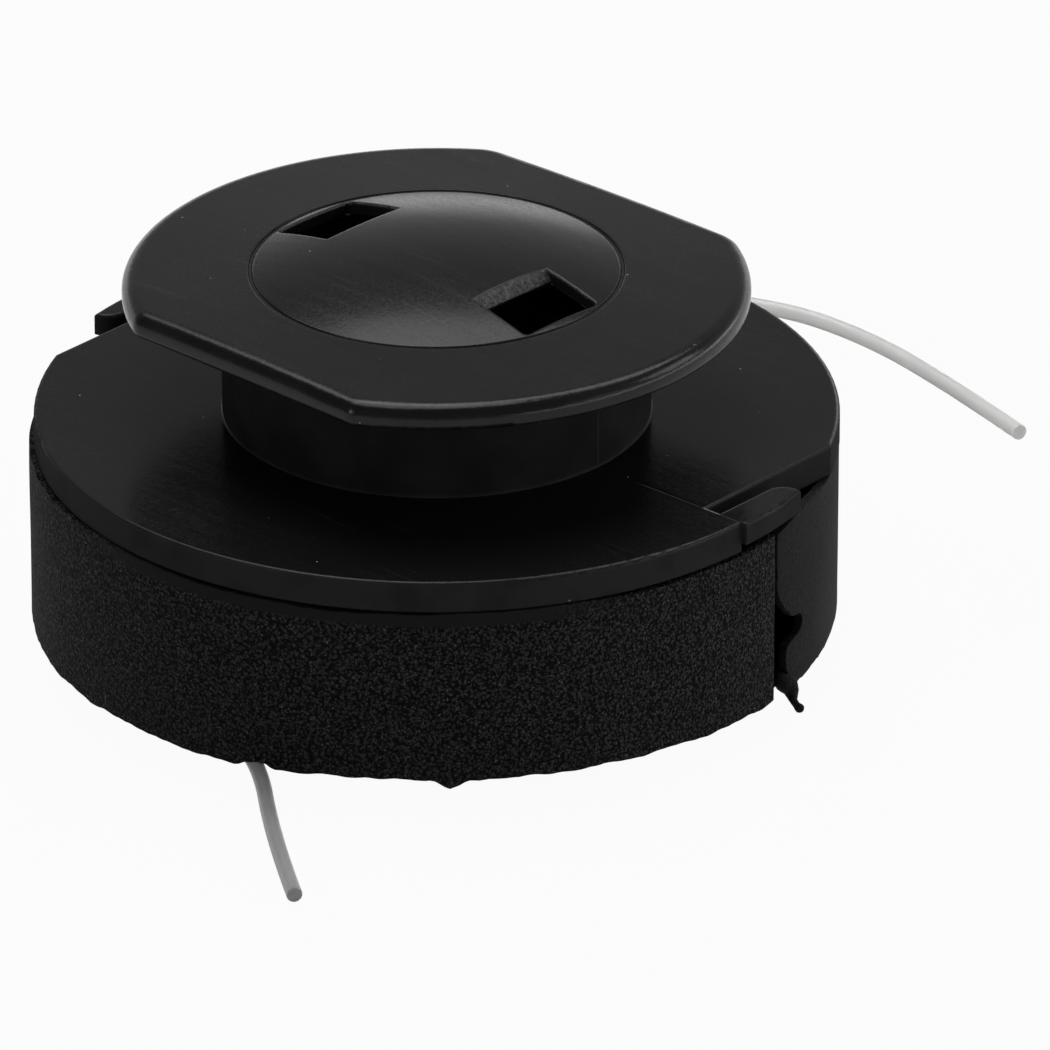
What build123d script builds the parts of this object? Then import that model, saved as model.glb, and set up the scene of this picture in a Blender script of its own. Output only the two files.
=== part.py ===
"""Trimmer line spool: a moulded two-chamber spool with a domed, windowed head, the line wound on it,
the wrap band that holds the winding, and the two free line ends.

The origin is on the spool's axis at the base ring that it stands on, +Z up, millimetres. The line slots
of the big flange and the windows of the head lie on the X axis, the flats of the head face +Y and -Y.
"""
from build123d import *
import math
import os

# Driving dimensions of the moulding
hub_radius = 22.4
hub_wall = 2.7
drive_shoulder = 0.6
base_ring_height = 1.9
winding_flange_radius = 41.0
bottom_flange_thickness = 1.8
bottom_flange_flat_depth = 3.7
chamber_height = 7.9
divider_thickness = 1.4
big_flange_thickness = 3.3
big_flange_edge_round = 0.4
neck_height = 12.5

# Driving dimensions of the head on the neck
head_radius = 32.7
head_rim_thickness = 2.55
head_crown = 0.6
head_front_flat_depth = 3.9
head_front_flat_turn = -2.0
head_back_flat_depth = 4.7
head_front_corner_round = 2.4
head_back_corner_round = 5.0
head_top_round = 1.6
head_bottom_round = 0.6
dome_radius = 19.15
dome_rise = 2.75
dome_wall = 1.4
dome_groove_width = 0.45
dome_groove_depth = 0.35
window_inner_edge = 10.5
window_outer_edge = 18.05
window_width = 10.5
window_turn = -2.5
window_slope = 1.0
window_corner_round = 0.6
window_edge_round = 0.25

# Driving dimensions of the line slots and of the drive inside the hub
slot_chord_depth = 4.4
slot_shift = -0.55
slot_clearance = 0.1
near_tongue_length = 9.9
far_tongue_length = 7.6
tongue_nose_round = 2.2
tongue_proud = 0.65
tongue_relief = 0.9
drive_lug_reach = 5.4
drive_lug_width = 10.0
drive_lug_height = 7.0
drive_depth = 25.0
spring_ring_radius = 8.6
spring_ring_wall = 1.5
spring_ring_height = 3.5

# Driving dimensions of the line and of the wrap band
line_diameter = 1.65
line_side_clearance = 0.1
winding_radius = 30.5
winding_drum_clearance = 0.05
winding_side_clearance = 0.2
last_turn_lift = 0.05
last_turn_rise = 1.4
last_turn_sweep = 150
band_thickness = 1.0
band_proud = 0.15
band_fit_clearance = 0.2
band_flange_gap = 0.4
band_line_clearance = 0.1
band_seam_angle = 7.8
band_seam_gap = 0.55
band_tear_reach = 3.4
band_tear_hole_radius = 1.5
band_notch_angle = 104.0
band_notch_width = 12.0
band_notch_round = 0.8

# Heights and radii that follow from them
line_radius = line_diameter / 2
bottom_flange_top = base_ring_height + bottom_flange_thickness
divider_bottom = bottom_flange_top + chamber_height
divider_top = divider_bottom + divider_thickness
big_flange_bottom = divider_top + chamber_height
big_flange_top = big_flange_bottom + big_flange_thickness
head_bottom = big_flange_top + neck_height
head_rim_top = head_bottom + head_rim_thickness
head_top = head_rim_top + head_crown
dome_sphere = (dome_radius**2 + dome_rise**2) / (2 * dome_rise)
bore_radius = hub_radius - hub_wall
cavity_radius = bore_radius - drive_shoulder
cavity_roof = head_top + dome_rise - dome_wall
layer_radius = winding_radius - line_radius
last_turn_radius = winding_radius + line_radius + last_turn_lift
band_inner_radius = winding_flange_radius + band_fit_clearance
band_outer_radius = band_inner_radius + band_thickness
big_flange_radius = band_outer_radius - band_proud
slot_chord_offset = big_flange_radius - slot_chord_depth
slot_width = line_diameter + slot_clearance
tongue_offset = slot_chord_offset + slot_width
tongue_radius = big_flange_radius + tongue_proud
band_bottom = line_diameter + band_line_clearance
band_top = big_flange_bottom - band_flange_gap
upper_line_height = big_flange_bottom - line_side_clearance - line_radius
lower_line_height = bottom_flange_top + line_side_clearance + line_radius


def disc(radius, bottom, top):
    """A plain disc or drum between two heights."""
    return Pos(0, 0, bottom) * Cylinder(radius, top - bottom, align=(Align.CENTER, Align.CENTER, Align.MIN))


def line_slot(shift):
    """The strip cut away beside +X, from the parting plane at Y = 0 out to the rim."""
    corner = (Align.MIN, Align.MIN)
    return Pos(slot_chord_offset + shift, 0) * Rectangle(big_flange_radius, big_flange_radius, align=corner)


def tongue(shift, length):
    """The tongue that keeps the line in the slot beside +X: proud of the rim and thinner than the flange."""
    bar = Pos(tongue_offset + shift, 0) * Rectangle(tongue_radius, length, align=(Align.MIN, Align.MIN))
    nose = bar.vertices().sort_by(Axis.Y)[-2:].sort_by(Axis.X)[0]
    outline = fillet(nose, tongue_nose_round) & Circle(tongue_radius)
    foot = big_flange_bottom + tongue_relief
    return Pos(0, 0, foot) * extrude(outline, big_flange_top - foot)


def round_top(plate):
    """Rounds a plate's upper edges, all but those on the parting plane."""
    upper = plate.edges().group_by(Axis.Z)[-1]
    return fillet([edge for edge in upper if abs(edge.center().Y) > line_radius], big_flange_edge_round)


def big_flange():
    """The flange under the neck, with two line slots half a turn apart and a tongue along each."""
    near = Rot(0, 0, 0)
    far = Rot(0, 0, 180)
    outline = Circle(big_flange_radius) - near * line_slot(slot_shift) - far * line_slot(-slot_shift)
    plate = Pos(0, 0, big_flange_bottom) * extrude(outline, big_flange_thickness)
    near_tongue = near * round_top(tongue(slot_shift, near_tongue_length))
    far_tongue = far * round_top(tongue(-slot_shift, far_tongue_length))
    return round_top(plate) + near_tongue + far_tongue


def bottom_flange():
    """The lowest flange, with a flat on each side that lets a line end down past it."""
    flat_offset = winding_flange_radius - bottom_flange_flat_depth
    outline = Circle(winding_flange_radius) & Rectangle(2 * winding_flange_radius, 2 * flat_offset)
    return Pos(0, 0, base_ring_height) * extrude(outline, bottom_flange_thickness)


def turned_core():
    """Hub, neck, head and domed roof as one turned wall, open below, with the groove round the dome."""
    roof_sphere = dome_sphere - dome_wall
    roof_edge = cavity_roof - roof_sphere + math.sqrt(roof_sphere**2 - cavity_radius**2)
    groove_radius = dome_radius + dome_groove_width
    groove_floor = head_top - dome_groove_depth
    wall = Polyline(
        (cavity_radius, roof_edge),
        (cavity_radius, drive_depth),
        (bore_radius, drive_depth),
        (bore_radius, 0),
        (hub_radius, 0),
        (hub_radius, head_bottom),
        (head_radius, head_bottom),
        (head_radius, head_rim_top),
        (groove_radius, head_top),
        (groove_radius, groove_floor),
        (dome_radius, groove_floor),
        (dome_radius, head_top),
    )
    dome = RadiusArc(wall @ 1, (0, head_top + dome_rise), -dome_sphere)
    axis = Line(dome @ 1, (0, cavity_roof))
    roof = RadiusArc(axis @ 1, wall @ 0, roof_sphere)
    section = make_face([wall, dome, axis, roof])
    return revolve(Plane.XZ * section, Axis.Z)


def flat_cut(depth):
    """The block that cuts one flat off the head, on its +Y side."""
    corner = (Align.CENTER, Align.MIN, Align.MIN)
    block = Box(2 * head_radius, head_radius, head_top - head_bottom, align=corner)
    return Pos(0, head_radius - depth, head_bottom) * block


def head_and_hub():
    """The turned core with the head's two flats cut, and the head's corners and rim rounded."""
    front_cut = Rot(0, 0, 180 + head_front_flat_turn) * flat_cut(head_front_flat_depth)
    core = turned_core() - flat_cut(head_back_flat_depth) - front_cut
    upright = core.edges().filter_by(Axis.Z)
    core = fillet([edge for edge in upright if edge.center().Y < -hub_radius / 2], head_front_corner_round)
    upright = core.edges().filter_by(Axis.Z)
    core = fillet([edge for edge in upright if edge.center().Y > hub_radius], head_back_corner_round)
    core = fillet([edge for edge in head_rims(core) if edge.center().Z > head_bottom], head_top_round)
    return fillet([edge for edge in head_rims(core) if edge.center().Z <= head_bottom], head_bottom_round)


def head_rims(core):
    """The edges that run round the head's rim, with those of its rounded upper side."""
    level = core.edges().filter_by(Axis.Z, reverse=True)
    reach = head_radius - max(head_front_flat_depth, head_back_flat_depth) - head_top_round
    return [edge for edge in level if math.hypot(edge.center().X, edge.center().Y) > reach]


def window_cuts():
    """The two square windows through the dome, whose inner walls slope down towards the cavity."""
    above = head_top + dome_rise
    sill = above - dome_sphere + math.sqrt(dome_sphere**2 - window_inner_edge**2)
    foot = window_inner_edge + window_slope
    lead = window_slope * (above - sill) / dome_wall
    section = Polyline(
        (window_inner_edge - lead, above),
        (window_outer_edge, above),
        (window_outer_edge, head_bottom),
        (foot, head_bottom),
        (foot, sill - dome_wall),
        close=True,
    )
    window = extrude(Plane.XZ * make_face(section), window_width / 2, both=True)
    outer = window.edges().filter_by(Axis.Z).group_by(Axis.X)[-1]
    window = fillet(outer, window_corner_round)
    return [Rot(0, 0, half + window_turn) * window for half in (0, 180)]


def round_windows(body):
    """Rounds the windows' upper edges, which lie on the dome's sphere."""
    centre = Vector(0, 0, head_top + dome_rise - dome_sphere)
    on_dome = [edge for edge in body.edges() if math.isclose(edge.distance_to(centre), dome_sphere, abs_tol=0.01)]
    near, far = window_inner_edge - window_edge_round, window_outer_edge + window_edge_round
    return fillet([edge for edge in on_dome if near < abs(edge.center().X) < far], window_edge_round)


def drive_lugs():
    """The two lugs on the hub's inner wall that the trimmer head drives, under the windows."""
    length = drive_lug_reach + hub_wall / 2
    block = Box(length, drive_lug_width, drive_lug_height, align=(Align.MIN, Align.CENTER, Align.MIN))
    lug = Pos(cavity_radius - drive_lug_reach, 0, drive_depth) * block
    ramp_edge = lug.edges().filter_by(Axis.Y).sort_by(Axis.X)[:2].sort_by(Axis.Z)[0]
    lug = chamfer(ramp_edge, drive_lug_reach / 2)
    return [Rot(0, 0, half) * lug for half in (0, 180)]


def spring_ring():
    """The ring under the roof that keeps the bump spring in the middle."""
    foot = cavity_roof - spring_ring_height
    root = cavity_roof + dome_wall / 4
    return disc(spring_ring_radius, foot, root) - disc(spring_ring_radius - spring_ring_wall, foot, root)


def spool_body():
    """The whole moulding: hub, head, three winding flanges, drive lugs and spring ring."""
    divider = disc(winding_flange_radius, divider_bottom, divider_top)
    flanges = big_flange() + bottom_flange() + divider - disc(hub_radius - hub_wall / 2, 0, head_top)
    body = head_and_hub() + flanges + drive_lugs() + spring_ring()
    return round_windows(body - window_cuts())


def winding(bottom, route, direction):
    """The line on one chamber: the full turns as one scalloped roll, and the last turn that rises out of it.

    The last turn ends square where the free end's route begins. direction is 1 where the line leaves
    anticlockwise, as seen from above, and -1 where it leaves clockwise.
    """
    foot = bottom + winding_side_clearance
    height = chamber_height - 2 * winding_side_clearance
    turns = int(height / line_diameter)
    pitch = height / turns
    drum = hub_radius + winding_drum_clearance
    crests = []
    for turn in range(turns):
        low = foot + turn * pitch
        crest = (winding_radius, low + pitch / 2)
        crests.append(ThreePointArc((layer_radius, low), crest, (layer_radius, low + pitch)))
    back = Polyline((layer_radius, foot + height), (drum, foot + height), (drum, foot), (layer_radius, foot))
    section = make_face(crests + [back])
    roll = revolve(Plane.XZ * section, Axis.Z)
    exit_angle = math.degrees(math.atan2(route[0].Y, route[0].X))
    centre = Vector(last_turn_rise, 0, route[0].Z).rotate(Axis.Z, exit_angle)
    path = CenterArc(centre, last_turn_radius - last_turn_rise, exit_angle, -direction * last_turn_sweep)
    last_turn = sweep((path ^ 0) * Circle(line_radius), path)
    return roll + last_turn


def leave_point(corner, direction):
    """The point where a line that runs straight to this corner leaves the last turn."""
    turn = math.acos(last_turn_radius / math.hypot(corner.X, corner.Y))
    angle = math.atan2(corner.Y, corner.X) - direction * turn
    return Vector(last_turn_radius * math.cos(angle), last_turn_radius * math.sin(angle), corner.Z)


def upper_route():
    """The upper line end's route: off the winding, out under the big flange and free beside the spool."""
    level = [(-9.5, 41.1), (5.2, 49.0), (17.0, 49.5), (30.5, 46.5), (44.1, 42.3)]
    free = [Vector(x, y, upper_line_height) for x, y in level]
    return [leave_point(free[0], -1)] + free


def lower_route():
    """The lower line end's route: down past the bottom flange's flat, under the band and along the ground."""
    level = [(-13.8, -39.0), (-2.5, -38.8)]
    ground = [(8.0, -38.0), (23.2, -50.6), (34.9, -59.8)]
    free = [Vector(x, y, lower_line_height) for x, y in level]
    free += [Vector(x, y, line_radius) for x, y in ground]
    return [leave_point(free[0], 1)] + free


def line_tube(name, points):
    """A tube of straight runs and tangent arcs along a route, with the radii that the runs leave room for."""
    runs = [b - a for a, b in zip(points, points[1:])]
    radii = []
    for run, following in zip(runs, runs[1:]):
        half_turn = math.radians(run.get_angle(following)) / 2
        radii.append(0.45 * min(run.length, following.length) / math.tan(half_turn))
    path = FilletPolyline(*points, radius=radii)
    tube = sweep((path ^ 0) * Circle(line_radius), path)
    ideal = math.pi * line_radius**2 * path.length
    print(name, "radii", [round(radius, 1) for radius in radii])
    print(name, "length", round(path.length, 1), "volume by section and length", round(tube.volume / ideal, 4))
    return tube


def radial_cut(outline, angle):
    """A cut from the axis outwards: the outline's x runs round the band, and its y is the height."""
    facing = Plane(origin=(0, 0, 0), x_dir=(0, 1, 0), z_dir=(1, 0, 0))
    return Rot(0, 0, angle) * extrude(facing * outline, band_outer_radius + band_thickness)


def seam_cut():
    """The band's open seam: a straight end, a torn end that leans away from it, and the round hole in that."""
    height = band_top - band_bottom
    upper_tear = [(0, 1.1), (0, 0.66), (0.4, 0.55), (0.9, 0.41)]
    lower_tear = [(0.55, 0.3), (0.4, 0.2), (0.55, 0.11), (1, 0), (1, -0.1)]
    hole_share = 0.33
    torn_end = []
    for lean, share in upper_tear + lower_tear:
        torn_end.append((band_seam_gap + lean * band_tear_reach, band_bottom + share * height))
    straight_end = [(0, torn_end[-1][1]), (0, torn_end[0][1])]
    gap = make_face(Polyline(*torn_end, *straight_end, close=True))
    hole_place = Pos(band_seam_gap + band_tear_reach, band_bottom + hole_share * height)
    hole = hole_place * Circle(band_tear_hole_radius)
    return radial_cut(gap + hole, band_seam_angle)


def wrap_band():
    """The band round the winding, open at its seam, notched at the back where the upper line comes out."""
    band = disc(band_outer_radius, band_bottom, band_top) - disc(band_inner_radius, band_bottom, band_top)
    notch_floor = upper_line_height - line_radius - band_line_clearance
    opening = RectangleRounded(band_notch_width, 2 * (band_top - notch_floor), band_notch_round)
    notch = radial_cut(Pos(0, band_top) * opening, band_notch_angle)
    return band - notch - seam_cut()


pieces = {
    "spool_body": spool_body(),
    "upper_line_winding": winding(divider_top, upper_route(), -1),
    "lower_line_winding": winding(bottom_flange_top, lower_route(), 1),
    "wrap_band": wrap_band(),
    "upper_line_end": line_tube("upper_line_end", upper_route()),
    "lower_line_end": line_tube("lower_line_end", lower_route()),
}

os.makedirs("parts", exist_ok=True)
for name, solid in pieces.items():
    export_step(solid, f"parts/{name}.step")
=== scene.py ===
"""Trimmer line spool: the moulding's finish, the wrap band, the free line ends and a plain studio stage."""
import math

import bmesh
import bpy
from bpy.props import FloatProperty, FloatVectorProperty, IntProperty, PointerProperty
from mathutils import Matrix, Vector, noise


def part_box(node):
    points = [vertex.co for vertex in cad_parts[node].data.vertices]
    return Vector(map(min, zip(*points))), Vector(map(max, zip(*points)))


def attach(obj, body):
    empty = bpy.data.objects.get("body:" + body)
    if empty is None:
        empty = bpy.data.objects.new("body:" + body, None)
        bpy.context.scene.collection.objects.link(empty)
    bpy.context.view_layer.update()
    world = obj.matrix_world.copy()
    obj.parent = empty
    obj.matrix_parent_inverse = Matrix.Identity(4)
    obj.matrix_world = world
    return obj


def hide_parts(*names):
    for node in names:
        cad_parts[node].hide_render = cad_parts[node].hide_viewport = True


bl_info = {
    "name": "Trimmer Line Spool",
    "version": (1, 0, 0),
    "blender": (4, 5, 0),
    "location": "3D View > Sidebar > Line Spool",
    "description": "Finishes the packed line spool: black moulding, wrap band, line ends and stage",
    "category": "Object",
}

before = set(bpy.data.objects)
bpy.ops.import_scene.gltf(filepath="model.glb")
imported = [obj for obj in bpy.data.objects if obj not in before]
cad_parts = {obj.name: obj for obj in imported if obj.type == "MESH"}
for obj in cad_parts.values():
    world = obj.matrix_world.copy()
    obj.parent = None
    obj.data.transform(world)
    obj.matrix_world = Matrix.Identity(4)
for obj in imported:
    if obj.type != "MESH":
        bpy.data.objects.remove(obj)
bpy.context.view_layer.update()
BAND_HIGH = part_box("wrap_band")[1]

# Height of the band's cut edges by angle round the spool, in degrees and millimetres
BAND_TOP_EDGE = (
    (-180, 20.6), (-121, 20.45), (-103, 20.6), (-92, 20.4), (-83, 20.2), (-63, 20.3), (-47, 20.55), (-25, 20.35),
    (-8, 20.3), (2, 20.2), (8, 20.3), (10, 20.5), (14, 21.0), (19, 21.0), (26, 20.6), (40, 20.5), (95.5, 20.6),
    (96.2, 19.4), (111.8, 19.4), (112.5, 20.6), (180, 20.6),
)
BAND_BOTTOM_EDGE = (
    (-180, 1.75), (-140, 1.3), (-121, 0.9), (-106, 1.05), (-92, 1.35), (-84, 1.2), (-77, 1.0),
    (-75.6, 1.7), (-72.5, 1.75), (-71.5, 1.4), (-63, 1.65), (-53, 1.9),
    (-48.6, 1.75), (-47.2, 1.0), (-46.4, 0.75), (-45.2, 1.1), (-44.0, 1.6), (-36, 1.8), (-24, 1.7), (-8, 1.65),
    (8, 1.4), (14, 1.5), (30, 1.75), (180, 1.75),
)
# How far the band stands out from its CAD radius by angle, in degrees and millimetres
BAND_BULGE = (
    (-180, 0.0), (-160, 0.25), (-138, 0.45), (-115, 0.4), (-95, 0.2), (-60, 0.0), (5, -0.05),
    (30, -0.2), (70, -0.05), (180, 0.0),
)
# How far the torn end stands back from the straight one, by share of the band's height, in millimetres
BAND_TORN_END = (
    (0.0, 4.1), (0.05, 3.4), (0.12, 2.6), (0.22, 2.5), (0.3, 3.0), (0.4, 3.9), (0.46, 2.9),
    (0.56, 1.3), (0.66, 0.6), (1.0, 0.5),
)
BAND_SEAM_ANGLE = 7.8
TEAR_BAY_SHARE = 0.335
TEAR_BAY_OFFSET = 4.3
TEAR_BAY_DEPTH = 2.0
TEAR_BAY_HALF_HEIGHT = 1.25
TEAR_RUN_OUT = 12.0
# Height of the band's sheet in millimetres, and the most that its upper edge may reach, higher on the flap
SHEET_HEIGHT = 19.0
TOP_EDGE_LIFT = 0.2
TOP_EDGE_LIMIT = 20.8
FLAP_EDGE_LIMIT = 21.3
FLAP_ANGLES = (10.0, 24.0)
# Where each edge is frayed: the middle's angle and the reach to each side, in degrees
TOP_FRAY = (-120.0, 14.0)
BOTTOM_FRAY = (-137.0, 17.0)

# The strand that hangs from the torn seam: its points in metres and its half thickness there
STRAND = (
    ((0.0407, 0.0072, 0.0034), 0.0006), ((0.0409, 0.0080, 0.0026), 0.0010), ((0.0411, 0.0088, 0.0019), 0.0011),
    ((0.0414, 0.0089, 0.0012), 0.0008), ((0.0421, 0.0084, 0.0006), 0.00042), ((0.0430, 0.0079, 0.0005), 0.0004),
    ((0.0437, 0.0075, 0.0006), 0.00052), ((0.0439, 0.0073, 0.0005), 0.0004),
)

# Control points of the free line ends, in metres, from the last turn of each winding outwards
UPPER_LINE_ROUTE = (
    (-0.02569, 0.01801, 0.019975),
    (-0.0095, 0.0411, 0.019975),
    (0.0052, 0.0489, 0.019975),
    (0.0173, 0.0492, 0.019975),
    (0.0308, 0.0462, 0.019975),
    (0.0441, 0.0421, 0.019975),
)
LOWER_LINE_ROUTE = (
    (-0.02722, -0.01561, 0.004625),
    (-0.0138, -0.0390, 0.004625),
    (-0.0025, -0.0388, 0.004625),
    (0.0020, -0.0390, 0.0040),
    (0.0093, -0.0378, 0.000825),
    (0.0230, -0.0504, 0.000825),
    (0.0331, -0.0581, 0.000825),
)


class Wire:
    """A shader socket that takes part in Python arithmetic: each operation adds a Math node."""

    def __init__(self, sheet, socket):
        self.sheet = sheet
        self.socket = socket

    def out(self, name):
        """Another output of the same node."""
        return Wire(self.sheet, self.socket.node.outputs[name])

    def math(self, operation, first, second=0.0):
        return self.sheet.add("ShaderNodeMath", {"operation": operation}, {0: first, 1: second})

    def __add__(self, other):
        return self.math("ADD", self, other)

    def __radd__(self, other):
        return self.math("ADD", other, self)

    def __sub__(self, other):
        return self.math("SUBTRACT", self, other)

    def __rsub__(self, other):
        return self.math("SUBTRACT", other, self)

    def __mul__(self, other):
        return self.math("MULTIPLY", self, other)

    def __rmul__(self, other):
        return self.math("MULTIPLY", other, self)

    def __abs__(self):
        return self.math("ABSOLUTE", self)

    def rise(self, low, high):
        """0 below low, 1 above high and a smooth rise between them."""
        settings = {"interpolation_type": "SMOOTHSTEP"}
        return self.sheet.add("ShaderNodeMapRange", settings, {"Value": self, "From Min": low, "From Max": high})


class NodeSheet:
    """One node tree, with one method that adds any node to it."""

    def __init__(self, tree):
        self.tree = tree
        tree.nodes.clear()

    def add(self, kind, settings=None, inputs=None, output=0):
        """A node of this type with its settings, then its sockets' values or links; gives one output."""
        node = self.tree.nodes.new(kind)
        for name, value in (settings or {}).items():
            if name == "stops":
                self.set_stops(node.color_ramp, value)
            else:
                setattr(node, name, value)
        for name, value in (inputs or {}).items():
            socket = node.inputs[name]
            if isinstance(value, Wire):
                self.tree.links.new(value.socket, socket)
            else:
                socket.default_value = value
        return Wire(self, node.outputs[output]) if node.outputs else None

    def set_stops(self, ramp, stops):
        while len(ramp.elements) < len(stops):
            ramp.elements.new(1.0)
        for element, (position, colour) in zip(ramp.elements, stops):
            element.position = position
            element.color = colour

    def blend(self, factor, first, second):
        """A colour between two colours."""
        return self.add("ShaderNodeMix", {"data_type": "RGBA"}, {0: factor, 6: first, 7: second}, 2)

    def speckle(self, place, scale, detail=2.0, roughness=0.5):
        """Plain noise at so many cells to the metre."""
        inputs = {"Vector": place, "Scale": scale, "Detail": detail, "Roughness": roughness}
        return self.add("ShaderNodeTexNoise", {}, inputs)

    def stretched(self, place, turn, scale):
        """A place turned round Z and stretched, for streaks."""
        inputs = {"Vector": place, "Rotation": (0.0, 0.0, math.radians(turn)), "Scale": scale}
        return self.add("ShaderNodeMapping", {}, inputs)


def new_finish(name):
    """A new material and the sheet of its nodes."""
    material = bpy.data.materials.new(name)
    material.use_nodes = True
    return material, NodeSheet(material.node_tree)


def close_finish(sheet, inputs):
    """Ends a finish with its main shader."""
    shader = sheet.add("ShaderNodeBsdfPrincipled", {}, inputs)
    sheet.add("ShaderNodeOutputMaterial", {}, {"Surface": shader})


def moulded_black(settings):
    """Satin black plastic, glossier on top than on its greyer drawn sides, with ripples, faint scratches and dust;
    the sides' grey is stepped by height as painted shade.
    """
    material, sheet = new_finish("moulded_black_plastic")
    place = sheet.add("ShaderNodeTexCoord", output="Object")
    axes = sheet.add("ShaderNodeSeparateXYZ", {}, {0: place})
    y, z = axes.out("Y"), axes.out("Z")
    facing = sheet.add("ShaderNodeSeparateXYZ", {}, {0: sheet.add("ShaderNodeNewGeometry", output="Normal")}).out("Z")
    side = 1.0 - facing.rise(0.3, 0.9)
    cloud = sheet.speckle(place, 45.0, 2.0)
    grain = sheet.speckle(place, 3000.0, 1.0)
    ripple = sheet.speckle(place, 160.0, 1.0)
    warp = sheet.add("ShaderNodeMix", {"data_type": "VECTOR"}, {0: 0.004, 4: place, 5: cloud.out("Color")}, 1)
    long_marks = sheet.speckle(sheet.stretched(warp, 31.0, (55.0, 2200.0, 55.0)), 1.0, 0.0).rise(0.73, 0.82)
    cross_marks = sheet.speckle(sheet.stretched(warp, -47.0, (80.0, 2600.0, 80.0)), 1.0, 0.0).rise(0.74, 0.83)
    marks = (long_marks + cross_marks) * sheet.speckle(place, 90.0, 0.0).rise(0.48, 0.7) * facing.rise(0.8, 0.95)
    crumbs = sheet.add("ShaderNodeTexVoronoi", {"feature": "F1"}, {"Vector": place, "Scale": 380.0})
    pick = sheet.add("ShaderNodeSeparateColor", {}, {0: crumbs.out("Color")})
    dust = (1.0 - crumbs.rise(0.018, 0.045)) * pick.rise(0.72, 0.74)
    streaks = sheet.speckle(sheet.stretched(place, 12.0, (40.0, 900.0, 40.0)), 1.0, 2.0)
    below_head = 1.0 - z.rise(0.0362, 0.0366)
    ramp = facing.rise(0.35, 0.45) * (1.0 - facing.rise(0.75, 0.85)) * z.rise(0.0400, 0.0402)
    torn = ramp * sheet.speckle(place, 2200.0, 3.0, 0.7).rise(0.3, 0.7)
    parting = (1.0 - abs(y).rise(0.00005, 0.0002)) * below_head
    below_neck = 1.0 - z.rise(0.0243, 0.0247)
    smudge = sheet.speckle(place, 170.0, 3.0).rise(0.25, 0.75)
    # The drawn sides are greyer, with a random smudge. The grey steps with height: least on the head's rim, more on
    # the neck, most on the flange's rim. These steps are painted shade on the head's rim and the neck.
    drawn_grey_and_painted_shade = side * (0.35 + 0.15 * below_head + 0.5 * below_neck) * (0.6 + 0.7 * smudge)
    sides_grey_and_painted_shade = sheet.blend(drawn_grey_and_painted_shade, (*settings.plastic_colour, 1.0), (*settings.side_colour, 1.0))
    scuffed = sheet.blend(marks * 0.5 + parting * side * 0.5, sides_grey_and_painted_shade, (*settings.scuff_colour, 1.0))
    flashed = sheet.blend(torn, scuffed, (*settings.flash_colour, 1.0))
    dusty = sheet.blend(dust, flashed, (*settings.dust_colour, 1.0))
    uneven = (cloud - 0.5) * 0.2 + (streaks - 0.5) * 0.15 + (grain - 0.5) * 0.25
    rough = settings.plastic_roughness + uneven + side * below_head * 0.25
    height = grain * 0.014 + ripple * 0.03 + dust * 0.05 + parting * (side * 0.11 - 0.02) + torn * 0.1
    soft_edges = sheet.add("ShaderNodeBevel", {"samples": 8}, {"Radius": 0.0004})
    relief = {"Strength": 0.6, "Distance": 0.001, "Height": height, "Normal": soft_edges}
    normal = sheet.add("ShaderNodeBump", {}, relief)
    gloss = sheet.add("ShaderNodeBsdfPrincipled", {}, {
        "Base Color": dusty,
        "Roughness": rough,
        "Specular IOR Level": settings.plastic_gloss,
        "Normal": normal,
    })
    matt = sheet.add("ShaderNodeBsdfPrincipled", {}, {
        "Base Color": dusty,
        "Roughness": 0.9,
        "Specular IOR Level": 0.0,
        "Normal": normal,
    })
    dull = side * 0.05 + below_head * (side * 0.88 + (1.0 - side) * 0.2)
    surface = sheet.add("ShaderNodeMixShader", {}, {0: dull, 1: gloss, 2: matt})
    sheet.add("ShaderNodeOutputMaterial", {}, {"Surface": surface})
    return material


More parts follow.
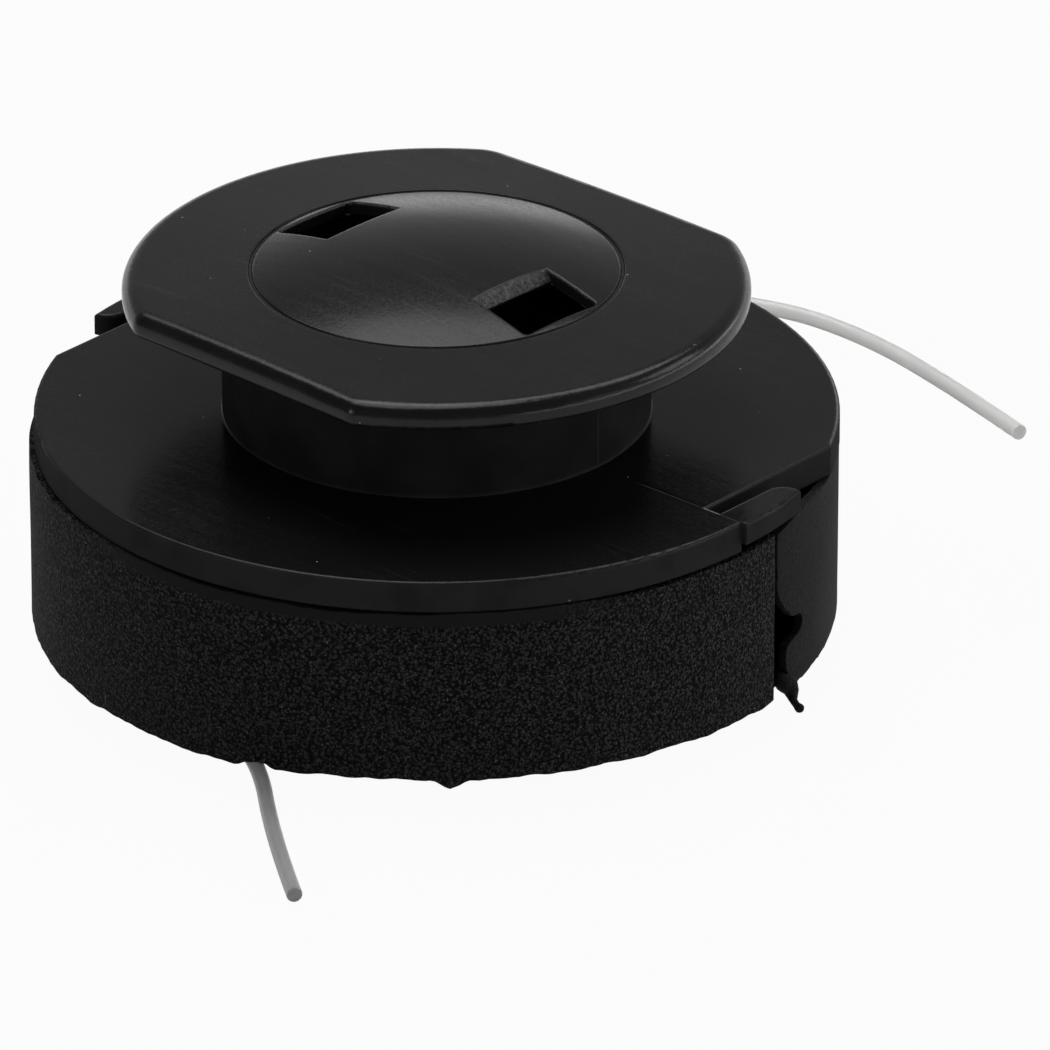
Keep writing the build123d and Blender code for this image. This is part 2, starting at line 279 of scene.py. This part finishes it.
def grained_vinyl(settings):
    """Black sheet with a fine pebbled grain, smooth along its upper border; lighter crests and darker gaps are partly
    wear and partly painted shade, and bright specks are painted glints mixed with lint.
    """
    material, sheet = new_finish("grained_black_vinyl")
    place = sheet.add("ShaderNodeTexCoord", output="Object")
    axes = sheet.add("ShaderNodeSeparateXYZ", {}, {0: place})
    front = (axes * 0.45 - axes.out("Y") * 0.89).rise(0.030, 0.037)
    flap = axes.rise(0.026, 0.032) * axes.out("Y").rise(0.0052, 0.0060)
    cells = 1.0 / settings.grain_size
    coarse = sheet.speckle(place, cells, 2.0, 0.6)
    inputs = {"Vector": place, "Scale": cells, "Smoothness": 0.5}
    pebbles = 1.0 - sheet.add("ShaderNodeTexVoronoi", {"feature": "SMOOTH_F1"}, inputs)
    fine = sheet.speckle(place, 2.3 * cells, 1.0)
    cloud = sheet.speckle(place, 70.0, 3.0)
    border = axes.out("Z").rise(BAND_HIGH.z - 0.0015, BAND_HIGH.z - 0.0010) * front
    pebbled = (1.0 - border) * (1.0 - 0.8 * flap)
    grain = pebbled * (0.8 * pebbles + 0.6 * coarse + 0.3 * fine)
    # Lighter crests and darker gaps between the pebbles: partly wear on the crests, partly painted shade in the gaps.
    worn_crests_and_gap_shade = (0.4 * pebbles + 0.4 * coarse + 0.2 * fine).rise(0.42, 0.68)
    lint = sheet.add("ShaderNodeTexVoronoi", {"feature": "F1"}, {"Vector": place, "Scale": 330.0})
    pick = sheet.add("ShaderNodeSeparateColor", {}, {0: lint.out("Color")})
    stray = (1.0 - lint.rise(0.02, 0.05)) * pick.rise(0.93, 0.94)
    # Bright specks: painted glints on the grain, plus stray lint.
    painted_glints_and_lint = fine.rise(0.61, 0.71) * coarse.rise(0.5, 0.6) * pebbled + stray
    dark = sheet.blend(worn_crests_and_gap_shade, (*settings.band_colour, 1.0), (*settings.band_crest_colour, 1.0))
    plain = sheet.blend(pebbled, (*settings.band_plain_colour, 1.0), dark)
    bright = sheet.blend(painted_glints_and_lint, plain, (*settings.glint_and_lint_colour, 1.0))
    rough = settings.band_roughness + (cloud - 0.5) * 0.12 - painted_glints_and_lint * 0.3
    bump = {"Strength": 1.0, "Distance": settings.grain_depth, "Height": grain + (1.0 - pebbled) * 0.8}
    close_finish(sheet, {
        "Base Color": bright,
        "Roughness": rough,
        "Specular IOR Level": settings.band_gloss,
        "Normal": sheet.add("ShaderNodeBump", {}, bump),
    })
    return material


def clear_nylon(settings, name, painted_shade_tone, clearness):
    """Natural nylon line, cloudy and partly see-through. Its darkening factor makes a darker copy of the whole line
    as painted shade, which the lower end wears.
    """
    material, sheet = new_finish(name)
    place = sheet.add("ShaderNodeTexCoord", output="Object")
    cloud = sheet.speckle(place, 240.0, 3.0)
    fine = sheet.speckle(place, 2600.0, 2.0)
    light = tuple(painted_shade_tone * part for part in settings.line_colour)
    shade = tuple(painted_shade_tone * part for part in settings.line_shade)
    pale = sheet.blend(cloud, (*light, 1.0), (*shade, 1.0))
    close_finish(sheet, {
        "Base Color": pale,
        "Roughness": settings.line_roughness + (fine - 0.5) * 0.2,
        "Transmission Weight": clearness,
        "Subsurface Weight": 0.6,
        "Subsurface Radius": (1.0, 1.0, 1.0),
        "Subsurface Scale": 0.0006,
        "Normal": sheet.add("ShaderNodeBump", {}, {"Strength": 0.1, "Distance": 0.0001, "Height": fine}),
    })
    return material


def edge_height(table, angle):
    """The value that a table gives at this angle or share, on straight runs between its points."""
    for (low, first), (high, second) in zip(table, table[1:]):
        if low <= angle <= high:
            return first + (second - first) * (angle - low) / (high - low)
    raise ValueError(f"{angle} is outside the table")


def rag(place, seed, *octaves):
    """A ragged cut's ups and downs: noise of several lengths and heights, in millimetres."""
    return sum(height * noise.noise((place / length, seed, 7.3 * seed)) for length, height in octaves)


def link_piece(name, data, material):
    """Puts a new piece in the scene, on the spool and on its material slot."""
    piece = bpy.data.objects.new(name, data)
    bpy.context.scene.collection.objects.link(piece)
    data.materials.append(material)
    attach(piece, "root")
    return piece


def band_sheet(settings):
    """The band's outer skin: an upright row of points spun round the axis, then cut to its ragged edges."""
    radius = 1000 * BAND_HIGH.x
    bm = bmesh.new()
    foot = bm.verts.new((radius, 0.0, 0.0))
    head = bm.verts.new((radius, 0.0, 1.0))
    column = bm.edges.new((foot, head))
    bmesh.ops.subdivide_edges(bm, edges=[column], cuts=settings.band_rows - 1)
    strip = bm.verts[:] + bm.edges[:]
    turn = 2 * math.pi
    bmesh.ops.spin(
        bm,
        geom=strip,
        cent=(0, 0, 0),
        axis=(0, 0, 1),
        dvec=(0, 0, 0),
        angle=turn * 0.9999,
        steps=settings.band_columns,
    )
    rows = settings.band_rows + 1
    ordered = sorted(bm.verts, key=lambda vert: (math.atan2(vert.co.y, vert.co.x) % turn, vert.co.z))
    for number, vert in enumerate(ordered):
        share_round = (number // rows) / settings.band_columns
        place_band_point(vert, share_round, vert.co.z, radius)
    bmesh.ops.recalc_face_normals(bm, faces=bm.faces)
    mesh = bpy.data.meshes.new("wrap_band_sheet")
    bm.to_mesh(mesh)
    bm.free()
    mesh.shade_smooth()
    return mesh


def strand_mesh():
    """The torn strand: rings of points along its way, skinned into a tube, and closed at its ends."""
    bm = bmesh.new()
    rings = []
    places = [Vector(place) for place, _ in STRAND]
    for number, (_, half) in enumerate(STRAND):
        along = places[min(number + 1, len(places) - 1)] - places[max(number - 1, 0)]
        at_end = number in (0, len(STRAND) - 1)
        ring = bmesh.ops.create_circle(bm, cap_ends=at_end, segments=10, radius=half)["verts"]
        turn = along.to_track_quat("Z", "Y").to_matrix()
        for vert in ring:
            vert.co = turn @ vert.co + places[number]
        rings.append(ring)
    for first, second in zip(rings, rings[1:]):
        edges = [edge for edge in bm.edges if set(edge.verts) <= set(first) or set(edge.verts) <= set(second)]
        bmesh.ops.bridge_loops(bm, edges=edges)
    bmesh.ops.recalc_face_normals(bm, faces=bm.faces)
    mesh = bpy.data.meshes.new("torn_strand")
    bm.to_mesh(mesh)
    bm.free()
    mesh.shade_smooth()
    return mesh


def groove_bed():
    """The shallow floor of the groove round the dome: a small section spun round the axis."""
    section = ((19.17, 39.55), (19.17, 39.81), (19.28, 39.77), (19.46, 39.77), (19.58, 39.81), (19.58, 39.55))
    bm = bmesh.new()
    verts = [bm.verts.new((radius / 1000, 0.0, height / 1000)) for radius, height in section]
    edges = [bm.edges.new(pair) for pair in zip(verts, verts[1:] + verts[:1])]
    bmesh.ops.spin(
        bm,
        geom=verts + edges,
        cent=(0, 0, 0),
        axis=(0, 0, 1),
        dvec=(0, 0, 0),
        angle=2 * math.pi,
        steps=192,
        use_merge=True,
    )
    bmesh.ops.recalc_face_normals(bm, faces=bm.faces)
    mesh = bpy.data.meshes.new("dome_groove_bed")
    bm.to_mesh(mesh)
    bm.free()
    mesh.shade_smooth()
    return mesh


def closeness(angle, middle, reach):
    """1 at the middle of a frayed stretch, falling to 0 at its ends."""
    return max(0.0, 1.0 - abs(angle - middle) / reach)


def place_band_point(vert, share_round, share_up, radius):
    """Moves one point of the spun sheet to its place on the cut band."""
    along = share_round * 2 * math.pi * radius
    stand_back = edge_height(BAND_TORN_END, share_up)
    in_bay = 1.0 - ((share_up - TEAR_BAY_SHARE) * SHEET_HEIGHT / TEAR_BAY_HALF_HEIGHT) ** 2
    if in_bay > 0:
        stand_back = max(stand_back, TEAR_BAY_OFFSET + TEAR_BAY_DEPTH * math.sqrt(in_bay))
    stand_back += rag(SHEET_HEIGHT * share_up, 5.0, (1.1, 0.18), (4.0, 0.2))
    shift = stand_back * max(0.0, 1.0 - along / TEAR_RUN_OUT) * (1.0 - share_round)
    angle = BAND_SEAM_ANGLE + math.degrees((along + shift) / radius)
    wrapped = (angle + 180.0) % 360.0 - 180.0
    top_rag = 0.10 + 0.45 * closeness(wrapped, *TOP_FRAY)
    top = edge_height(BAND_TOP_EDGE, wrapped) + rag(along, 1.0, (0.9, top_rag), (5.0, 0.16), (21.0, 0.12))
    on_flap = FLAP_ANGLES[0] < wrapped < FLAP_ANGLES[1]
    top = min(top + TOP_EDGE_LIFT, FLAP_EDGE_LIMIT if on_flap else TOP_EDGE_LIMIT)
    bottom_rag = 0.16 + 0.35 * closeness(wrapped, *BOTTOM_FRAY)
    bottom = edge_height(BAND_BOTTOM_EDGE, wrapped) + rag(along, 2.0, (1.2, bottom_rag), (4.0, 0.2), (17.0, 0.15))
    height = bottom + (top - bottom) * share_up
    near_foot = max(0.0, 1.0 - share_up / 0.12) ** 2
    flare = 0.22 * near_foot * max(0.0, noise.noise((along / 14.0, 3.0, 1.0)))
    sway = 0.10 * noise.noise((along / 24.0, height / 9.0, 4.0))
    reach = radius - 0.05 + sway + flare + edge_height(BAND_BULGE, wrapped)
    turn = math.radians(angle)
    vert.co = (reach * math.cos(turn) / 1000, reach * math.sin(turn) / 1000, height / 1000)


class SpoolFinishes(bpy.types.PropertyGroup):
    """Colours and surface of the spool's materials."""

    plastic_colour: FloatVectorProperty(
        name="Plastic", description="Colour of the black moulding", subtype="COLOR", default=(0.006, 0.006, 0.0063)
    )
    # Grey of the drawn sides; the moulding uses it stepped by height, as painted shade on the head's rim and the
    # neck.
    side_colour: FloatVectorProperty(
        name="Sides",
        description="Colour of the moulding's drawn, duller sides",
        subtype="COLOR",
        default=(0.025, 0.025, 0.0255),
    )
    scuff_colour: FloatVectorProperty(
        name="Scuffs", description="Colour of handling scratches", subtype="COLOR", default=(0.03, 0.03, 0.03)
    )
    plastic_roughness: FloatProperty(
        name="Plastic Roughness", description="Mean roughness of the moulding", default=0.21, min=0.0, max=1.0
    )
    plastic_gloss: FloatProperty(
        name="Plastic Gloss", description="Mirror strength of the moulding", default=0.2, min=0.0, max=1.0
    )
    flash_colour: FloatVectorProperty(
        name="Flash",
        description="Colour of the rough, whitened window ramps",
        subtype="COLOR",
        default=(0.075, 0.075, 0.075),
    )
    dust_colour: FloatVectorProperty(
        name="Dust", description="Colour of the dust on the moulding", subtype="COLOR", default=(0.3, 0.3, 0.3)
    )
    band_colour: FloatVectorProperty(
        name="Band", description="Colour of the wrap band", subtype="COLOR", default=(0.002, 0.002, 0.002)
    )
    band_plain_colour: FloatVectorProperty(
        name="Band Border",
        description="Colour of the band where it has no grain",
        subtype="COLOR",
        default=(0.012, 0.012, 0.012),
    )
    # The crests' colour against band_colour in the gaps: partly wear, partly painted shade in the gaps.
    band_crest_colour: FloatVectorProperty(
        name="Band Crests",
        description="Colour of the grain's worn crests",
        subtype="COLOR",
        default=(0.038, 0.038, 0.038),
    )
    # Colour of the painted glints on the grain and of the lint.
    glint_and_lint_colour: FloatVectorProperty(
        name="Band Specks",
        description="Colour of the grain's bright specks",
        subtype="COLOR",
        default=(0.14, 0.14, 0.14),
    )
    band_roughness: FloatProperty(
        name="Band Roughness", description="Mean roughness of the band", default=0.75, min=0.0, max=1.0
    )
    band_gloss: FloatProperty(
        name="Band Gloss", description="Mirror strength of the band", default=0.05, min=0.0, max=1.0
    )
    grain_size: FloatProperty(
        name="Grain Size", description="Width of one pebble of the band's grain", default=0.00035, unit="LENGTH"
    )
    grain_depth: FloatProperty(
        name="Grain Depth", description="Depth of the band's grain", default=0.0003, unit="LENGTH"
    )
    line_colour: FloatVectorProperty(
        name="Line", description="Colour of the nylon line", subtype="COLOR", default=(0.95, 0.95, 0.94)
    )
    line_shade: FloatVectorProperty(
        name="Line Shade",
        description="Darker clouds in the nylon line",
        subtype="COLOR",
        default=(0.80, 0.80, 0.79),
    )
    line_roughness: FloatProperty(
        name="Line Roughness", description="Mean roughness of the nylon line", default=0.4, min=0.0, max=1.0
    )


class SpoolSizes(bpy.types.PropertyGroup):
    """Sizes of the pieces that are made here."""

    line_diameter: FloatProperty(
        name="Line Diameter", description="Thickness of the trimmer line", default=0.00165, unit="LENGTH"
    )
    band_thickness: FloatProperty(
        name="Band Thickness", description="Thickness of the wrap band", default=0.0009, unit="LENGTH"
    )
    band_edge: FloatProperty(
        name="Band Edge", description="Rounding of the band's cut edges", default=0.00012, unit="LENGTH"
    )
    band_columns: IntProperty(name="Band Columns", description="Steps round the band", default=520, min=60)
    band_rows: IntProperty(name="Band Rows", description="Steps up the band", default=46, min=6)


class SpoolStage(bpy.types.PropertyGroup):
    """Camera, floor and light."""

    target: FloatVectorProperty(
        name="Target",
        description="Point that the camera looks at",
        subtype="XYZ",
        default=(0.006855, 0.006118, 0.010201),
    )
    azimuth: FloatProperty(
        name="Azimuth", description="Camera's angle round the spool", subtype="ANGLE", default=math.radians(41.747)
    )
    elevation: FloatProperty(
        name="Elevation",
        description="Camera's angle above the floor",
        subtype="ANGLE",
        default=math.radians(26.088),
    )
    distance: FloatProperty(
        name="Distance", description="Camera's distance from its target", default=1.35007, unit="LENGTH"
    )
    lens: FloatProperty(name="Lens", description="Focal length in millimetres", default=441.73)
    bright_side: FloatProperty(
        name="Bright Side",
        description="Direction of the brighter half of the room",
        subtype="ANGLE",
        default=math.radians(105),
    )
    window_side: FloatProperty(
        name="Window Side",
        description="Direction of the long low window",
        subtype="ANGLE",
        default=math.radians(32),
    )
    floor_radius: FloatProperty(
        name="Floor Radius", description="Radius of the round floor", default=1.2, unit="LENGTH"
    )
    floor_colour: FloatVectorProperty(
        name="Floor", description="Colour of the floor", subtype="COLOR", default=(0.42, 0.42, 0.42)
    )


class SPOOL_OT_stage(bpy.types.Operator):
    """Floor, soft lights, pale surroundings and the camera"""

    bl_idname = "spool.stage"
    bl_label = "Set Up Stage"

    def execute(self, context):
        stage = context.scene.spool_stage
        context.scene.view_settings.view_transform = "Standard"
        self.floor(context, stage)
        self.surroundings(context, stage)
        self.softbox(context, "overhead_softbox", (166, 80, 1.2), (0.7, 0.7), 6.0)
        self.softbox(context, "back_softbox", (131, 61, 1.25), (1.4, 0.45), 6.3)
        self.softbox(context, "right_softbox", (50, 29, 1.25), (0.5, 0.4), 2.0)
        self.softbox(context, "right_fill", (14, 16, 1.2), (0.5, 0.4), 0.6)
        self.softbox(context, "left_fill", (-100, 20, 1.2), (0.3, 0.4), 2.0)
        self.camera(context, stage)
        return {"FINISHED"}

    def floor(self, context, stage):
        bm = bmesh.new()
        bmesh.ops.create_circle(bm, cap_ends=True, segments=128, radius=stage.floor_radius)
        mesh = bpy.data.meshes.new("floor")
        bm.to_mesh(mesh)
        bm.free()
        floor = bpy.data.objects.new("floor", mesh)
        context.scene.collection.objects.link(floor)
        material, sheet = new_finish("pale_floor")
        rays = sheet.add("ShaderNodeLightPath")
        seen = (rays + rays.out("Is Glossy Ray") + rays.out("Is Transmission Ray")) * 0.95
        matt = sheet.add("ShaderNodeBsdfDiffuse", {}, {"Color": (*stage.floor_colour, 1.0)})
        white = sheet.add("ShaderNodeEmission", {}, {"Color": (1.0, 1.0, 1.0, 1.0), "Strength": 1.0})
        surface = sheet.add("ShaderNodeMixShader", {}, {0: seen, 1: matt, 2: white})
        sheet.add("ShaderNodeOutputMaterial", {}, {"Surface": surface})
        mesh.materials.append(material)

    def surroundings(self, context, stage):
        world = bpy.data.worlds.new("studio")
        world.use_nodes = True
        sheet = NodeSheet(world.node_tree)
        direction = sheet.add("ShaderNodeTexCoord", output="Generated")
        axes = sheet.add("ShaderNodeSeparateXYZ", {}, {0: direction})
        bright_side = axes * math.cos(stage.bright_side) + axes.out("Y") * math.sin(stage.bright_side)
        stops = (
            (0.0, (1.25, 1.25, 1.25, 1.0)),
            (0.07, (1.2, 1.2, 1.2, 1.0)),
            (0.2, (0.38, 0.38, 0.38, 1.0)),
            (0.6, (0.30, 0.30, 0.30, 1.0)),
        )
        sky = sheet.add("ShaderNodeValToRGB", {"stops": stops}, {"Fac": axes.out("Z")})
        dim = sheet.blend(0.8, sky, (0.0, 0.0, 0.0, 1.0))
        room = sheet.blend(bright_side.rise(-0.4, 0.6), dim, sky)
        towards = axes * math.cos(stage.window_side) + axes.out("Y") * math.sin(stage.window_side)
        z = axes.out("Z")
        window = towards.rise(0.5, 0.75) * z.rise(0.02, 0.05) * (1.0 - z.rise(0.10, 0.14))
        colour = sheet.blend(window, room, (6.0, 6.0, 6.0, 1.0))
        light = sheet.add("ShaderNodeBackground", {}, {"Color": colour, "Strength": 1.0})
        sheet.add("ShaderNodeOutputWorld", {}, {"Surface": light})
        context.scene.world = world

    def softbox(self, context, name, place, size, power):
        """A soft lamp of this width and height, at a place given by its angle round, angle up and distance."""
        round_angle, up_angle, distance = math.radians(place[0]), math.radians(place[1]), place[2]
        level = math.cos(up_angle)
        away = Vector((level * math.cos(round_angle), level * math.sin(round_angle), math.sin(up_angle)))
        light = bpy.data.lights.new(name, "AREA")
        light.shape = "RECTANGLE"
        light.size, light.size_y = size
        light.energy = power
        lamp = bpy.data.objects.new(name, light)
        lamp.location = distance * away
        lamp.rotation_euler = (-away).to_track_quat("-Z", "Y").to_euler()
        context.scene.collection.objects.link(lamp)

    def camera(self, context, stage):
        data = bpy.data.cameras.new("camera")
        data.lens = stage.lens
        data.sensor_width = 36.0
        data.clip_start = 0.05
        data.clip_end = 20.0
        camera = bpy.data.objects.new("camera", data)
        level = math.cos(stage.elevation)
        back = Vector((math.sin(stage.azimuth) * level, -math.cos(stage.azimuth) * level, math.sin(stage.elevation)))
        camera.location = Vector(stage.target) + stage.distance * back
        camera.rotation_euler = (-back).to_track_quat("-Z", "Y").to_euler()
        context.scene.collection.objects.link(camera)
        context.scene.camera = camera


class SPOOL_OT_line_ends(bpy.types.Operator):
    """The two free ends of the trimmer line, each on one smooth curve"""

    bl_idname = "spool.line_ends"
    bl_label = "Lay Line Ends"

    def execute(self, context):
        finishes = context.scene.spool_finishes
        nylon = clear_nylon(finishes, "natural_nylon", 1.0, 0.65)
        # The lower end gets a darker copy of the same nylon that is not see-through: painted shade.
        painted_shade_nylon = clear_nylon(finishes, "painted_shade_nylon", 0.34, 0.0)
        diameter = context.scene.spool_sizes.line_diameter
        self.lay("upper_line", UPPER_LINE_ROUTE, 0.083, "upper_line_end", diameter, nylon)
        self.lay("lower_line", LOWER_LINE_ROUTE, 0.081, "lower_line_end", diameter, painted_shade_nylon)
        for winding in ("upper_line_winding", "lower_line_winding"):
            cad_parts[winding].data.materials.clear()
            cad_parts[winding].data.materials.append(nylon)
        return {"FINISHED"}

    def lay(self, name, route, length, node, diameter, material):
        curve = bpy.data.curves.new(name, "CURVE")
        curve.dimensions = "3D"
        curve.resolution_u = 16
        curve.bevel_depth = diameter / 2
        curve.bevel_resolution = 5
        curve.use_fill_caps = True
        spline = curve.splines.new("NURBS")
        spline.points.add(len(route) - 1)
        for point, place in zip(spline.points, route):
            point.co = (*place, 1.0)
        spline.order_u = 3
        spline.use_endpoint_u = True
        line = link_piece(name, curve, material)
        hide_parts(node)


class SPOOL_OT_moulding(bpy.types.Operator):
    """The finish of the one-piece black moulding"""

    bl_idname = "spool.moulding"
    bl_label = "Finish Moulding"

    def execute(self, context):
        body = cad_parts["spool_body"]
        body.data.materials.clear()
        body.data.materials.append(moulded_black(context.scene.spool_finishes))
        link_piece("dome_groove_bed", groove_bed(), body.data.materials[0])
        return {"FINISHED"}


class SPOOL_OT_wrap_band(bpy.types.Operator):
    """The ragged wrap band with its torn seam"""

    bl_idname = "spool.wrap_band"
    bl_label = "Cut Wrap Band"

    def execute(self, context):
        sizes = context.scene.spool_sizes
        vinyl = grained_vinyl(context.scene.spool_finishes)
        link_piece("torn_strand", strand_mesh(), vinyl)
        band = link_piece("ragged_band", band_sheet(sizes), vinyl)
        wall = band.modifiers.new("wall", "SOLIDIFY")
        wall.thickness = sizes.band_thickness
        wall.offset = -1.0
        edges = band.modifiers.new("cut_edges", "BEVEL")
        edges.width = sizes.band_edge
        edges.segments = 2
        edges.limit_method = "ANGLE"
        edges.angle_limit = math.radians(50)
        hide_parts("wrap_band")
        return {"FINISHED"}


class SPOOL_PT_panel(bpy.types.Panel):
    """Steps, finishes and sizes of the line spool"""

    bl_idname = "SPOOL_PT_panel"
    bl_label = "Line Spool"
    bl_space_type = "VIEW_3D"
    bl_region_type = "UI"
    bl_category = "Line Spool"

    def draw(self, context):
        layout = self.layout
        for operator in STEPS:
            layout.operator(operator.bl_idname)
        for group in (context.scene.spool_finishes, context.scene.spool_sizes, context.scene.spool_stage):
            box = layout.box()
            for name in group.__annotations__:
                box.prop(group, name)


STEPS = (SPOOL_OT_stage, SPOOL_OT_line_ends, SPOOL_OT_moulding, SPOOL_OT_wrap_band)
CLASSES = (SpoolFinishes, SpoolSizes, SpoolStage, *STEPS, SPOOL_PT_panel)


def register():
    for each in CLASSES:
        bpy.utils.register_class(each)
    bpy.types.Scene.spool_finishes = PointerProperty(type=SpoolFinishes)
    bpy.types.Scene.spool_sizes = PointerProperty(type=SpoolSizes)
    bpy.types.Scene.spool_stage = PointerProperty(type=SpoolStage)


def unregister():
    del bpy.types.Scene.spool_stage
    del bpy.types.Scene.spool_sizes
    del bpy.types.Scene.spool_finishes
    for each in reversed(CLASSES):
        bpy.utils.unregister_class(each)


def main():
    register()
    bpy.ops.spool.stage()
    bpy.ops.spool.line_ends()
    bpy.ops.spool.moulding()
    bpy.ops.spool.wrap_band()


if __name__ == "__main__":
    main()
